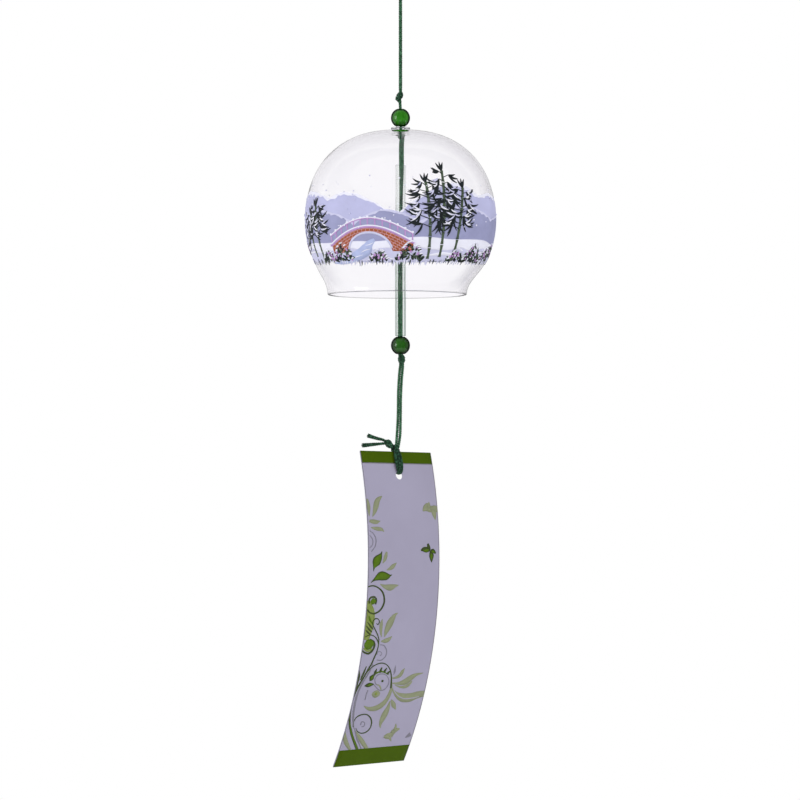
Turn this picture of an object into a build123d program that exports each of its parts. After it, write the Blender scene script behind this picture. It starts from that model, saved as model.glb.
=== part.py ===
from build123d import *
import os
from math import cos, degrees, radians, sin, sqrt, tan

# A furin wind bell hanging at rest: a glass bell on a doubled cord, a glass tube as its clapper
# and a curved paper strip below. Millimetres, +Z up, the viewer in front at -Y.
# The origin is the hanging point, inside the top of the cord's loop.

# Glass bell
bell_radius = 40.0
crown_share = 0.925
mouth_depth_share = 0.785
mouth_radius_share = 0.725
side_share = 1.1375
side_turn = 20.3
shoulder_share = 0.8
neck_height = 5.0
neck_fillet = 2.0
glass_wall = 0.9
rim_fillet = 0.4
collar_radius = 4.05
collar_waist = 3.3
collar_foot = 4.0
collar_height = 1.75
collar_lip = 0.7
cord_hole_radius = 1.4

# Beads
bead_radius = 4.0
bead_bore_radius = 1.3
bead_edge_fillet = 0.3

# Clapper tube
tube_radius = 2.25
tube_bore_radius = 1.65
tube_length = 71.6
tube_end_fillet = 0.25

# Cord: one cord doubled all the way, so that every stretch has two strands
cord_radius = 0.525
strand_gap = 0.05
hook_radius = 2.9
loop_drop = 20.0
hanging_stretch = 43.0
clapper_reach = 88.6
top_knot_width = 3.1
top_knot_height = 4.6
globe_knot_width = 3.9
globe_knot_height = 3.4
lower_knot_width = 3.6
lower_knot_height = 4.2
tie_knot_width = 3.4
tie_knot_height = 4.6
tie_knot_tilt = 25.0
tail_radius = 0.65

# Paper strip
strip_width = 37.4
strip_length = 136.2
paper_thickness = 0.3
corner_fillet = 0.6
strip_bend_radius = 167.5
strip_top_lean = 20.0
strip_yaw = 37.7
strip_roll = 2.9
strip_sideways = 2.1
strip_hang = 38.7
strip_hole_radius = 1.7
strip_hole_drop = 10.3

# Clearances and play
flex_gap = 0.4
knot_gap = 0.2
seat_gap = 0.25
tube_seat_gap = 0.3
bead_play = 2.6
knot_sink = 0.3
paper_gap = 0.2
thread_gap = 0.3
tie_rise = 1.3
tie_gap = 0.7
overrun = 5.0

strand_pitch = 2 * cord_radius + strand_gap

# Heights of the chain, from the hanging point down
top_knot_z = -(loop_drop + hanging_stretch + knot_gap + top_knot_height / 2)
upper_bead_z = top_knot_z - top_knot_height / 2 - bead_play - bead_radius
bead_rim_rise = sqrt(bead_radius**2 - bead_bore_radius**2)
collar_top_z = upper_bead_z - bead_rim_rise - seat_gap
crown_z = collar_top_z - collar_height
equator_z = crown_z - crown_share * bell_radius
mouth_z = equator_z - mouth_depth_share * bell_radius
globe_knot_z = crown_z - glass_wall
lower_bead_z = globe_knot_z - clapper_reach
tube_bottom_z = lower_bead_z + sqrt(bead_radius**2 - tube_bore_radius**2) + tube_seat_gap
lower_knot_z = lower_bead_z - bead_radius - lower_knot_height / 2 + knot_sink
strip_top_z = lower_knot_z - strip_hang


def bead(label, height):
    """A round bead, bored for the doubled cord."""
    with BuildPart() as ball:
        with Locations((0, 0, height)):
            Sphere(bead_radius)
            Cylinder(bead_bore_radius, 2 * bead_radius + overrun, mode=Mode.SUBTRACT)
        fillet(ball.edges().filter_by(GeomType.CIRCLE), radius=bead_edge_fillet)
    ball.part.label = label
    return ball.part


def knot(label, width, height, centre, along):
    """A pulled-tight overhand knot as a body of three rounded turns about its long axis."""
    notch_share = 0.88
    pole_share = 0.3
    pole = pole_share * width / 2

    def on_oval(angle, share):
        return (share * width / 2 * sin(radians(angle)), share * height / 2 * cos(radians(angle)))

    plane = Plane(origin=centre, z_dir=along)
    half_plane = Plane(origin=centre, x_dir=plane.x_dir, z_dir=-plane.y_dir)
    with BuildPart() as tied:
        with BuildSketch(half_plane):
            with BuildLine():
                Line((0, height / 2), (pole, height / 2))
                ThreePointArc((pole, height / 2), on_oval(38, 1), on_oval(62, notch_share))
                ThreePointArc(on_oval(62, notch_share), on_oval(90, 1), on_oval(118, notch_share))
                ThreePointArc(on_oval(118, notch_share), on_oval(142, 1), (pole, -height / 2))
                Polyline((pole, -height / 2), (0, -height / 2), (0, height / 2))
            make_face()
        revolve(axis=Axis(centre, along))
    tied.part.label = label
    return tied.part


def strand_pair(label, start, end, beside):
    """Two strands pulled straight from start to end, lying next to each other along beside."""
    along = end - start
    with BuildPart() as pair:
        with BuildSketch(Plane(origin=start, x_dir=beside, z_dir=along)):
            with GridLocations(strand_pitch, 0, 2, 1):
                Circle(cord_radius)
        extrude(amount=along.length)
    pair.part.label = label
    return pair.part


def bend_radii(points):
    """The largest bend for each corner of a cord's route."""
    radii = []
    for before, corner, after in zip(points, points[1:], points[2:]):
        arriving = corner - before
        leaving = after - corner
        half_turn = radians(arriving.get_angle(leaving)) / 2
        radii.append(0.45 * min(arriving.length, leaving.length) / tan(half_turn))
    return radii


def cord_runs(label, routes, radius):
    """One tube for each route: straight runs joined by tangent arcs."""
    with BuildPart() as cord:
        for route in routes:
            points = [Vector(point) for point in route]
            radii = bend_radii(points)
            with BuildLine() as line:
                path = FilletPolyline(*points, radius=radii)
            with BuildSketch(Plane(origin=path @ 0, z_dir=path % 0)):
                Circle(radius)
            sweep(path=line.wire())
            print(label, "length", round(line.wire().length, 2), "bends", [round(r, 2) for r in radii])
    cord.part.label = label
    return cord.part


# The fold of the cord that a hook holds, opened in the YZ plane
fold_z = cord_radius
loop_half_width = hook_radius + cord_radius
loop_side = [
    (0, strand_pitch / 2, -loop_drop),
    (0, 0.75, -14.0),
    (0, loop_half_width, -6.2),
    (0, loop_half_width, fold_z),
]
loop_route = loop_side + [(x, -y, z) for x, y, z in reversed(loop_side)]
hanging_loop = cord_runs("hanging_loop", [loop_route], cord_radius)

# Both strands hang straight to the top knot, one behind the other
hanging_cord = strand_pair(
    "hanging_cord",
    Vector(0, 0, -loop_drop - flex_gap),
    Vector(0, 0, top_knot_z + top_knot_height / 2 + knot_gap),
    (0, 1, 0),
)
top_knot = knot("top_knot", top_knot_width, top_knot_height, (0, 0, top_knot_z), (0, 0, 1))

# Through the upper bead and the hole in the glass
globe_knot_reach = max(globe_knot_width, globe_knot_height) / 2
neck_cord = strand_pair(
    "neck_cord",
    Vector(0, 0, top_knot_z - top_knot_height / 2 - knot_gap),
    Vector(0, 0, globe_knot_z + globe_knot_reach + knot_gap),
    (0, 1, 0),
)
upper_bead = bead("upper_bead", upper_bead_z)

# The bell's wall follows four tangent arcs from the crown to the neck, then the straight neck
side_radius = side_share * bell_radius
shoulder_radius = shoulder_share * bell_radius
mouth_radius = mouth_radius_share * bell_radius
side_centre = Vector(bell_radius - side_radius, equator_z)
side_end = side_centre + Vector(side_radius, 0).rotate(Axis.Z, side_turn)
shoulder_centre = side_end - Vector(shoulder_radius, 0).rotate(Axis.Z, side_turn)
crown_drop = crown_z - shoulder_radius - shoulder_centre.Y
crown_radius = shoulder_radius + (shoulder_centre.X**2 + crown_drop**2) / (2 * crown_drop)
crown_centre = Vector(0, crown_z - crown_radius)
shoulder_top = crown_centre + (shoulder_centre - crown_centre).normalized() * crown_radius
neck_top_z = mouth_z + neck_height
neck_top_radius = sqrt(bell_radius**2 - (equator_z - neck_top_z) ** 2)
with BuildPart() as glass_globe:
    with BuildSketch(Plane.XZ) as wall:
        with BuildLine() as outside:
            RadiusArc((0, crown_z), (shoulder_top.X, shoulder_top.Y), crown_radius)
            RadiusArc(
                (shoulder_top.X, shoulder_top.Y), (side_end.X, side_end.Y), shoulder_radius
            )
            RadiusArc((side_end.X, side_end.Y), (bell_radius, equator_z), side_radius)
            RadiusArc((bell_radius, equator_z), (neck_top_radius, neck_top_z), bell_radius)
            Line((neck_top_radius, neck_top_z), (mouth_radius, mouth_z))
            fillet(outside.vertices().sort_by(Axis.Y)[1], radius=neck_fillet)
            offset(amount=-glass_wall, side=Side.RIGHT)
        make_face()
        fillet(wall.vertices().sort_by(Axis.Y)[:2], radius=rim_fillet)
    revolve(axis=Axis.Z)
    with BuildSketch(Plane.XZ):
        with BuildLine():
            foot_z = crown_z - glass_wall / 2
            lip_bottom_z = collar_top_z - collar_lip
            Polyline((0, collar_top_z), (0, foot_z), (collar_foot, foot_z))
            ThreePointArc(
                (collar_foot, foot_z),
                (collar_waist, (foot_z + lip_bottom_z) / 2),
                (collar_radius - collar_lip / 2, lip_bottom_z),
            )
            ThreePointArc(
                (collar_radius - collar_lip / 2, lip_bottom_z),
                (collar_radius, collar_top_z - collar_lip / 2),
                (collar_radius - collar_lip / 2, collar_top_z),
            )
            Line((collar_radius - collar_lip / 2, collar_top_z), (0, collar_top_z))
        make_face()
    revolve(axis=Axis.Z)
    with Locations((0, 0, globe_knot_z)):
        Sphere(globe_knot_reach + seat_gap, mode=Mode.SUBTRACT)
        Cylinder(
            cord_hole_radius,
            collar_top_z - globe_knot_z + overrun,
            align=(Align.CENTER, Align.CENTER, Align.MIN),
            mode=Mode.SUBTRACT,
        )
glass_globe.part.label = "glass_globe"

globe_knot = knot(
    "globe_knot", globe_knot_width, globe_knot_height, (0, 0, globe_knot_z), (0, 0, 1)
)

# The clapper: the tube stands on the lower bead, round the cord
clapper_cord = strand_pair(
    "clapper_cord",
    Vector(0, 0, globe_knot_z - globe_knot_reach - knot_gap),
    Vector(0, 0, lower_knot_z + lower_knot_height / 2 + knot_gap),
    (1, 0, 0),
)
with BuildPart() as clapper_tube:
    with Locations((0, 0, tube_bottom_z)):
        Cylinder(tube_radius, tube_length, align=(Align.CENTER, Align.CENTER, Align.MIN))
        Cylinder(
            tube_bore_radius,
            tube_length,
            align=(Align.CENTER, Align.CENTER, Align.MIN),
            mode=Mode.SUBTRACT,
        )
    fillet(clapper_tube.edges().filter_by(GeomType.CIRCLE), radius=tube_end_fillet)
clapper_tube.part.label = "clapper_tube"
lower_bead = bead("lower_bead", lower_bead_z)
lower_knot = knot(
    "lower_knot", lower_knot_width, lower_knot_height, (0, 0, lower_knot_z), (0, 0, 1)
)

# The paper strip bends along its length; its front turns towards the viewer's right
front = Vector(sin(radians(strip_yaw)), -cos(radians(strip_yaw)), 0).rotate(Axis.Y, strip_roll)
across = Vector(cos(radians(strip_yaw)), sin(radians(strip_yaw)), 0).rotate(Axis.Y, strip_roll)
sheet_plane = Plane(origin=(-strip_sideways, 0, strip_top_z), x_dir=front, z_dir=-across)
bend_centre = Vector(-strip_bend_radius, 0).rotate(Axis.Z, strip_top_lean)
strip_turn = degrees(strip_length / strip_bend_radius)


def sheet_place(drop):
    """The plane on the paper at a distance below its top edge: x out of its front, y up along it."""
    angle = strip_top_lean - degrees(drop / strip_bend_radius)
    local = bend_centre + Vector(strip_bend_radius, 0).rotate(Axis.Z, angle)
    out = front.rotate(Axis((0, 0, 0), -across), angle)
    return Plane(origin=sheet_plane.from_local_coords(local), x_dir=out, z_dir=-across)


with BuildPart() as paper_strip:
    with BuildSketch(sheet_plane):
        with BuildLine():
            middle = (bend_centre.X, bend_centre.Y)
            start_angle = strip_top_lean - strip_turn
            face_radius = strip_bend_radius + paper_thickness / 2
            back_radius = strip_bend_radius - paper_thickness / 2
            face_arc = CenterArc(middle, face_radius, start_angle, strip_turn)
            back_arc = CenterArc(middle, back_radius, start_angle, strip_turn)
            Line(face_arc @ 0, back_arc @ 0)
            Line(face_arc @ 1, back_arc @ 1)
        make_face()
    extrude(amount=strip_width / 2, both=True)
    corners = paper_strip.edges().filter_by(GeomType.LINE).sort_by(SortBy.LENGTH)[:4]
    fillet(corners, radius=corner_fillet)
    hole_place = sheet_place(strip_hole_drop)
    with BuildSketch(Plane(origin=hole_place.origin, z_dir=hole_place.x_dir)):
        Circle(strip_hole_radius)
    extrude(amount=overrun, both=True, mode=Mode.SUBTRACT)
paper_strip.part.label = "paper_strip"

# The cord goes down in front of the paper, through its hole and up behind it to the tie
tie_plane = sheet_place(strip_hole_drop / 2)
stand_off = paper_thickness / 2 + cord_radius + paper_gap
tie_top = strip_hole_drop / 2 + tie_rise
thread_y = -strip_hole_drop / 2 + strip_hole_radius - cord_radius - thread_gap


def tie_point(out, up, aside):
    """A point by the tie: out of the paper's front, up along it and aside towards its left edge."""
    return tie_plane.from_local_coords(Vector(out, up, aside))


strip_loop = cord_runs(
    "strip_loop",
    [
        [
            tie_point(stand_off, tie_top, aside),
            tie_point(stand_off, thread_y, aside),
            tie_point(-stand_off, thread_y, aside),
            tie_point(-stand_off, tie_top, aside),
        ]
        for aside in (-strand_pitch / 2, strand_pitch / 2)
    ],
    cord_radius,
)

# Two strands hang from the lower knot to the tie
tie_centre = tie_point(stand_off, tie_top, 0)
lower_knot_centre = Vector(0, 0, lower_knot_z)
strip_lead = (tie_centre - lower_knot_centre).normalized()
strip_cord = strand_pair(
    "strip_cord",
    lower_knot_centre + strip_lead * (lower_knot_height / 2 + knot_gap),
    tie_centre - strip_lead * flex_gap,
    (1, 0, 0),
)

# The overhand knot that closes the tie lies to its left, and the cord's two ends leave it
tie_axis = Vector(0, sin(radians(tie_knot_tilt)), cos(radians(tie_knot_tilt)))
tie_reach = strand_pitch / 2 + cord_radius + tie_gap + tie_knot_height / 2
tie_knot_local = Vector(stand_off, tie_top, 0) + tie_axis * tie_reach
tie_knot_centre = tie_plane.from_local_coords(tie_knot_local)
tie_knot_along = tie_plane.from_local_coords(tie_knot_local + tie_axis) - tie_knot_centre
tie_knot = knot(
    "tie_knot", tie_knot_width, tie_knot_height, tie_knot_centre, tie_knot_along
)
tail_start = tie_knot_local + tie_axis * (tie_knot_height / 2 + knot_gap)
upper_tail = [(0.55, 0.45, 0.0), (0.45, 1.0, 4.4), (0.5, 2.2, 8.7)]
lower_tail = [(-0.75, -0.75, 0.0), (-0.85, -1.3, 5.7), (-0.7, -1.75, 11.6)]
tail_routes = [
    [tie_plane.from_local_coords(tail_start + Vector(step)) for step in tail]
    for tail in (upper_tail, lower_tail)
]
cord_tails = cord_runs("cord_tails", tail_routes, tail_radius)

pieces = [
    hanging_loop,
    hanging_cord,
    top_knot,
    upper_bead,
    neck_cord,
    glass_globe.part,
    globe_knot,
    clapper_cord,
    clapper_tube.part,
    lower_bead,
    lower_knot,
    strip_cord,
    strip_loop,
    tie_knot,
    cord_tails,
    paper_strip.part,
]

os.makedirs("parts", exist_ok=True)
for piece in pieces:
    export_step(piece, "parts/" + piece.label + ".step")
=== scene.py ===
import random
from math import acos, asin, cos, degrees, dist, hypot, log, pi, radians, sin, sqrt

import bmesh
import bpy
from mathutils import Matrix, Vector, noise


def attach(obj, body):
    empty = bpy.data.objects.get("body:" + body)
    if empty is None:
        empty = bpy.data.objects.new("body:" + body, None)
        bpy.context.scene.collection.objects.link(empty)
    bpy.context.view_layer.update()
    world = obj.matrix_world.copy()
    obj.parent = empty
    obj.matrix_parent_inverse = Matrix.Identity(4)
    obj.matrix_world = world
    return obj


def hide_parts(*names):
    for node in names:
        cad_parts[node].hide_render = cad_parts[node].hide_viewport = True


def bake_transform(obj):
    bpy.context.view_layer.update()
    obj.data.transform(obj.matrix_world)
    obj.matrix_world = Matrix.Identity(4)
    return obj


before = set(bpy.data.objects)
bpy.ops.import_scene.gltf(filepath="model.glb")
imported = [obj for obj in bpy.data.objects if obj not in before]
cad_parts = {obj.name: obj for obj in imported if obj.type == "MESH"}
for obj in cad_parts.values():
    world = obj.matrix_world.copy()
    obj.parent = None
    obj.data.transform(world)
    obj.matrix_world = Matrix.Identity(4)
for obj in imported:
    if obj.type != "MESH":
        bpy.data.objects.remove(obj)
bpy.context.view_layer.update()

# The part's own sizes are in millimetres, as in its source, and multiplied by MM. What stands
# round it, and where a cord's blend begins and ends, is in metres.
MM = 0.001
scene = bpy.context.scene

# Heights on the part, from its hanging point down
TOP_KNOT = -65.5
UPPER_BEAD = -74.4
COLLAR_TOP = -78.4329
GLOBE_KNOT = -81.0829
EQUATOR = -117.1829
MOUTH = -148.5829
TUBE_TOP = -94.139
TUBE_BOTTOM = -165.739
LOWER_BEAD = -169.6829
LOWER_KNOT = -175.4829

BELL_RADIUS = 40
STRAND = 0.68  # radius of a drawn strand, over its plies


# ---- Camera, at the photograph's angle

camera_data = bpy.data.cameras.new("camera")
camera_data.sensor_width = 36
camera_data.lens = 85.95
camera = bpy.data.objects.new("camera", camera_data)
camera.location = (-0.0002, -0.8, -0.19254)
camera.rotation_euler = (radians(90), 0, 0)
scene.collection.objects.link(camera)
scene.camera = camera
scene.view_settings.view_transform = "Standard"


# ---- Materials

WHITE = (1, 1, 1, 1)
BLACK = (0, 0, 0, 1)


def colour(red, green, blue):
    """A linear colour from sRGB values of 0 to 255."""
    def linear(value):
        value /= 255
        return value / 12.92 if value <= 0.04045 else ((value + 0.055) / 1.055) ** 2.4
    return (linear(red), linear(green), linear(blue), 1)


def shade(base, share):
    return (base[0] * share, base[1] * share, base[2] * share, 1)


class Nodes:
    """A node tree, with short ways to add to it."""

    def __init__(self, tree):
        self.tree = tree

    def feed(self, socket, value):
        """Gives an input a number or another node's output."""
        if isinstance(value, bpy.types.NodeSocket):
            self.tree.links.new(value, socket)
        else:
            socket.default_value = value

    def node(self, kind, *inputs, **values):
        """A new node: its first inputs in order, its settings and other inputs by name."""
        made = self.tree.nodes.new("ShaderNode" + kind)
        for name, value in values.items():
            if hasattr(made, name):
                setattr(made, name, value)
            else:
                self.feed(made.inputs[name.replace("_", " ")], value)
        for socket, value in zip(made.inputs, inputs):
            self.feed(socket, value)
        return made

    def along(self, kind):
        """The X, Y and Z of a texture coordinate."""
        place = self.node("TexCoord").outputs[kind]
        return self.node("SeparateXYZ", place).outputs

    def ramp(self, value, *stops):
        ramp = self.node("ValToRGB", value)
        elements = ramp.color_ramp.elements
        while len(elements) < len(stops):
            elements.new(0.5)
        for element, (at, tone) in zip(elements, stops):
            element.position = at
            element.color = tone
        return ramp.outputs["Color"]

    def mixed(self, share, first, second):
        """One shader over another."""
        return self.node("MixShader", share, first, second).outputs[0]

    def painted(self, share, first, second, way="MIX"):
        """One colour over another."""
        mix = self.node("Mix", share, data_type="RGBA", blend_type=way)
        self.feed(mix.inputs[6], first)
        self.feed(mix.inputs[7], second)
        return mix.outputs[2]

    def times(self, first, second):
        return self.painted(1, first, second, "MULTIPLY")


class Look(Nodes):
    """A material and its Principled shader."""

    def __init__(self, name):
        self.material = bpy.data.materials.new(name)
        self.material.use_nodes = True
        super().__init__(self.material.node_tree)
        self.shader = self.tree.nodes["Principled BSDF"]

    def set(self, **values):
        for name, value in values.items():
            self.feed(self.shader.inputs[name.replace("_", " ")], value)

    def noise(self, scale, detail, roughness=0.55):
        place = self.node("TexCoord").outputs["Object"]
        waves = self.node("TexNoise", place, Scale=scale, Detail=detail, Roughness=roughness)
        return waves.outputs["Fac"]

    def facing(self):
        """0 where the surface is seen straight on, 1 at its outline."""
        return self.node("LayerWeight", Blend=0.5).outputs["Facing"]

    def bump(self, strength, distance, *waves):
        bump = self.node("Bump", Strength=strength, Distance=distance, Height=self.noise(*waves))
        self.set(Normal=bump.outputs["Normal"])

    def show(self, surface):
        self.feed(self.tree.nodes["Material Output"].inputs["Surface"], surface)

    def glass(self, tint, surface=None):
        """The material as glass; shadow rays pass it with a tint, so that its shadow is light."""
        self.set(Transmission_Weight=1)
        shadow = self.node("LightPath").outputs["Is Shadow Ray"]
        clear = self.node("BsdfTransparent", Color=tint).outputs[0]
        self.show(self.mixed(shadow, surface or self.shader.outputs[0], clear))
        return self.material


def dull_look(name, waves, stops, bump, **values):
    """A look coloured by waves of noise and made rough by finer ones.

    The waves are their number in a metre, their detail and roughness; the bump is its strength,
    its depth in metres and its own waves.
    """
    look = Look(name)
    look.set(Base_Color=look.ramp(look.noise(*waves), *stops), **values)
    look.bump(*bump)
    return look.material


def cord_look(name, base, light):
    return dull_look(
        name, (1700, 2), ((0.34, shade(base, 0.4)), (0.5, base), (0.68, light)),
        (0.35, 0.00004, 6500, 2),
        Roughness=0.6, Specular_IOR_Level=0.3, Sheen_Weight=0.15, Sheen_Roughness=0.4,
    )


def ink_look(name, base, scale, spread, gloss=0.12, roughness=0.5):
    """Ink whose tone wanders by a share, the spread."""
    return dull_look(
        name, (scale, 4, 0.6), ((0.25, shade(base, 1 - spread)), (0.75, shade(base, 1 + spread))),
        (0.1, 0.00004, 2600, 2), Roughness=roughness, Specular_IOR_Level=gloss,
    )


def clear_glass_look(name, roughness, ripple, edge=1):
    """Clear glass with painted shade: its tint greys towards its outline; a lower edge darkens all
    of it.
    """
    look = Look(name)
    tints = look.ramp(
        look.facing(), (0.5, WHITE), (0.68, (0.9, 0.895, 0.91, 1)), (0.85, (0.84, 0.835, 0.85, 1)),
        (0.95, (0.6, 0.6, 0.62, 1)), (1, (0.2, 0.2, 0.22, 1)),
    )
    clouds = look.ramp(
        look.noise(45, 2), (0.3, shade((0.985, 0.985, 0.99), edge)), (0.7, shade(WHITE, edge))
    )
    look.set(Roughness=roughness, IOR=1.32, Base_Color=look.times(tints, clouds))
    look.bump(ripple, 0.0004, 70, 1)
    return look.glass((0.93, 0.94, 0.95, 1))


def tube_glass_look(name, line):
    """Clear glass with painted light and shade: from outside, a line painted at a band of facing
    stands for the bore's refracted edge, and the outline is painted darker.
    """
    look = Look(name)
    tints = look.ramp(
        look.facing(), (0, (0.97, 0.99, 0.97, 1)), (0.19, (0.97, 0.99, 0.97, 1)), (0.26, line),
        (0.31, line), (0.39, (0.93, 0.95, 0.94, 1)), (0.8, (0.84, 0.87, 0.86, 1)),
        (1, (0.12, 0.15, 0.15, 1)),
    )
    # Inside the bell the tube hardly shows in the photograph, so it is paler there.
    height = look.along("Object")["Z"]
    paler = look.node("MapRange", height, -0.138, -0.118, To_Max=0.6).outputs["Result"]
    tints = look.painted(paler, tints, (0.97, 0.98, 0.97, 1))
    clouds = look.ramp(look.noise(120, 2), (0.3, (0.95, 0.97, 0.96, 1)), (0.7, WHITE))
    look.set(Roughness=0, IOR=1.3, Base_Color=look.times(tints, clouds))
    look.bump(0.03, 0.0004, 90, 1)
    return look.glass((0.93, 0.95, 0.94, 1))


def green_glass_look(name, core, mid, rim):
    """Green glass with painted shade: its tint darkens towards its outline, and a dark diffuse
    shader is mixed in at its outline and at its poles round the bore's ends.
    """
    look = Look(name)
    tints = look.ramp(look.facing(), (0, core), (0.3, mid), (0.5, rim), (0.76, shade(rim, 0.1)))
    swirl = look.ramp(look.noise(420, 2), (0.3, shade(WHITE, 0.7)), (0.65, WHITE))
    look.set(Roughness=0.06, IOR=1.5, Specular_Tint=(0.8, 0.9, 0.8, 1))
    look.set(Base_Color=look.times(tints, swirl))
    look.bump(0.15, 0.0003, 420, 1)
    # Painted shade: a dark diffuse shader mixed in over the outline and the poles.
    outline = look.ramp(look.facing(), (0.32, BLACK), (0.62, WHITE))
    poles = look.ramp(
        look.along("Generated")["Z"], (0, WHITE), (0.26, BLACK), (0.8, BLACK), (1, WHITE)
    )
    painted_shade_share = look.node("Math", outline, poles, operation="MAXIMUM").outputs[0]
    dark = look.node("BsdfDiffuse", Color=shade(rim, 0.5)).outputs[0]
    return look.glass((0.45, 0.7, 0.4, 1), look.mixed(painted_shade_share, look.shader.outputs[0], dark))


CORD = cord_look("green_cord", colour(25, 80, 47), colour(98, 148, 114))
# A darker copy of the cord: painted shade for the self-shadow of tight wraps, used on the knots,
# the tie's loops and the tails.
SHADED_CORD = cord_look("green_cord_painted_shade", colour(11, 55, 33), colour(72, 124, 92))
GLASS = clear_glass_look("clear_glass", 0, 0.06)
# The mouth's rim: the same glass darkened all over, painted shade for its grey lines.
RIM_GLASS = clear_glass_look("rim_glass", 0.25, 0.3, 0.55)
TUBE_GLASS = tube_glass_look("tube_glass", (0.1, 0.17, 0.125, 1))
TUBE_BORE_GLASS = tube_glass_look("tube_bore", (0.95, 0.97, 0.95, 1))
UPPER_GREEN = green_glass_look(
    "upper_bead_glass", (0.033, 0.21, 0.012, 1), (0.045, 0.26, 0.014, 1), (0.005, 0.03, 0.003, 1)
)
LOWER_GREEN = green_glass_look(
    "lower_bead_glass", (0.022, 0.09, 0.014, 1), (0.022, 0.07, 0.012, 1), (0.003, 0.01, 0.002, 1)
)
BEAD_BORE = ink_look("bead_bore", (0.5, 0.8, 0.35, 1), 900, 0.35, 0.3, 0.6)


# ---- Meshes

def finished(name, bm, *materials):
    bmesh.ops.recalc_face_normals(bm, faces=bm.faces)
    mesh = bpy.data.meshes.new(name)
    bm.to_mesh(mesh)
    bm.free()
    for material in materials:
        mesh.materials.append(material)
    mesh.polygons.foreach_set("use_smooth", [True] * len(mesh.polygons))
    obj = bpy.data.objects.new(name, mesh)
    scene.collection.objects.link(obj)
    return obj


def put_on(piece, body, slot, *nodes):
    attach(piece, body)
    if nodes:
        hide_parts(*nodes)


def line_of(route):
    """Points in metres along the spline whose control points are the route's, in millimetres."""
    curve = bpy.data.curves.new("route", "CURVE")
    curve.dimensions = "3D"
    curve.resolution_u = 24
    spline = curve.splines.new("NURBS")
    spline.points.add(len(route) - 1)
    for point, place in zip(spline.points, route):
        point.co = (*(value * MM for value in place), 1)
    spline.order_u = 3
    spline.use_endpoint_u = True
    holder = bpy.data.objects.new("route", curve)
    mesh = bpy.data.meshes.new_from_object(holder)
    points = [vertex.co.copy() for vertex in mesh.vertices]
    bpy.data.objects.remove(holder)
    bpy.data.curves.remove(curve)
    bpy.data.meshes.remove(mesh)
    return points


def spaced(points, step):
    """The same line with its points a step apart."""
    kept = [points[0]]
    left = step
    for start, end in zip(points, points[1:]):
        run = (end - start).length
        gone = 0
        while run - gone >= left:
            gone += left
            kept.append(start.lerp(end, gone / run))
            left = step
        left -= run - gone
    if (kept[-1] - points[-1]).length < step / 2:
        kept.pop()
    kept.append(points[-1])
    return kept


def run_lengths(points):
    """How far along the line each of its points is."""
    gone = [0]
    for start, end in zip(points, points[1:]):
        gone.append(gone[-1] + (end - start).length)
    return gone


def with_frames(points):
    """Each point with its direction and two sides that don't turn about it."""
    count = len(points)
    side = None
    for i, point in enumerate(points):
        along = (points[min(i + 1, count - 1)] - points[max(i - 1, 0)]).normalized()
        side = along.orthogonal() if side is None else side - along * side.dot(along)
        side = side.normalized()
        yield point, along, side, along.cross(side)


def spoke(side, other, angle):
    return side * cos(angle) + other * sin(angle)


def join_rings(bm, ring, after):
    count = len(ring)
    return [
        bm.faces.new((ring[k], ring[(k + 1) % count], after[(k + 1) % count], after[k]))
        for k in range(count)
    ]


def add_tube(bm, points, radii, sides):
    rings = []
    for (point, along, side, other), radius in zip(with_frames(points), radii):
        spokes = [spoke(side, other, 2 * pi * k / sides) for k in range(sides)]
        rings.append([bm.verts.new(point + out * radius) for out in spokes])
    for ring, after in zip(rings, rings[1:]):
        join_rings(bm, ring, after)
    bm.faces.new(list(reversed(rings[0])))
    bm.faces.new(rings[-1])


def add_braid(bm, points, turn=0, pitch=2.8, swell=lambda t: 1):
    """A round braid along a line: three plies each way round a core, over and under each other."""
    radius = STRAND * MM
    ply, wave = 0.31 * radius, 0.13 * radius
    middle = radius - ply - wave
    points = spaced(points, 0.17 * MM)
    framed = list(with_frames(points))
    grown = [swell(i / (len(points) - 1)) for i in range(len(points))]
    gone = run_lengths(points)
    for way in (1, -1):
        for k in range(3):
            line, radii = [], []
            for (point, along, side, other), long, grow in zip(framed, gone, grown):
                about = 2 * pi * long / (pitch * MM)
                angle = turn + way * about + 2 * pi * k / 3 + (pi / 3 if way < 0 else 0)
                reach = (middle + way * wave * cos(3 * about - pi / 2)) * grow
                line.append(point + spoke(side, other, angle) * reach)
                radii.append(ply * grow)
            add_tube(bm, line, radii, 5)
    add_tube(bm, points, [middle * grow for grow in grown], 7)


def add_revolved(bm, profile, sides, ripple, material):
    """A closed outline of radius and height, in millimetres, turned about Z."""
    spokes = [spoke(Vector((1, 0, 0)), Vector((0, 1, 0)), 2 * pi * k / sides) for k in range(sides)]
    rings = []
    for i, (radius, height) in enumerate(profile):
        ring = []
        for out in spokes:
            point = out * radius + Vector((0, 0, height))
            ring.append(bm.verts.new((point + out * ripple(point, i)) * MM))
        rings.append(ring)
    for i, ring in enumerate(rings):
        for face in join_rings(bm, ring, rings[(i + 1) % len(rings)]):
            face.material_index = int(material(i))


def arc(centre, radius, first, last, count):
    """Points of radius and height on an arc, by its angles in degrees."""
    angles = [radians(first + (last - first) * i / count) for i in range(count + 1)]
    return [(centre[0] + radius * cos(a), centre[1] + radius * sin(a)) for a in angles]


def bend(first, corner, last, count):
    """Points on the smooth bend from first to last that is pulled to the corner."""
    ends = list(zip(first, corner, last))
    shares = [i / count for i in range(count + 1)]
    return [
        tuple((1 - t) ** 2 * a + 2 * t * (1 - t) * b + t * t * c for a, b, c in ends)
        for t in shares
    ]


# ---- Cord: one cord, folded in half and doubled all the way down

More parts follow.
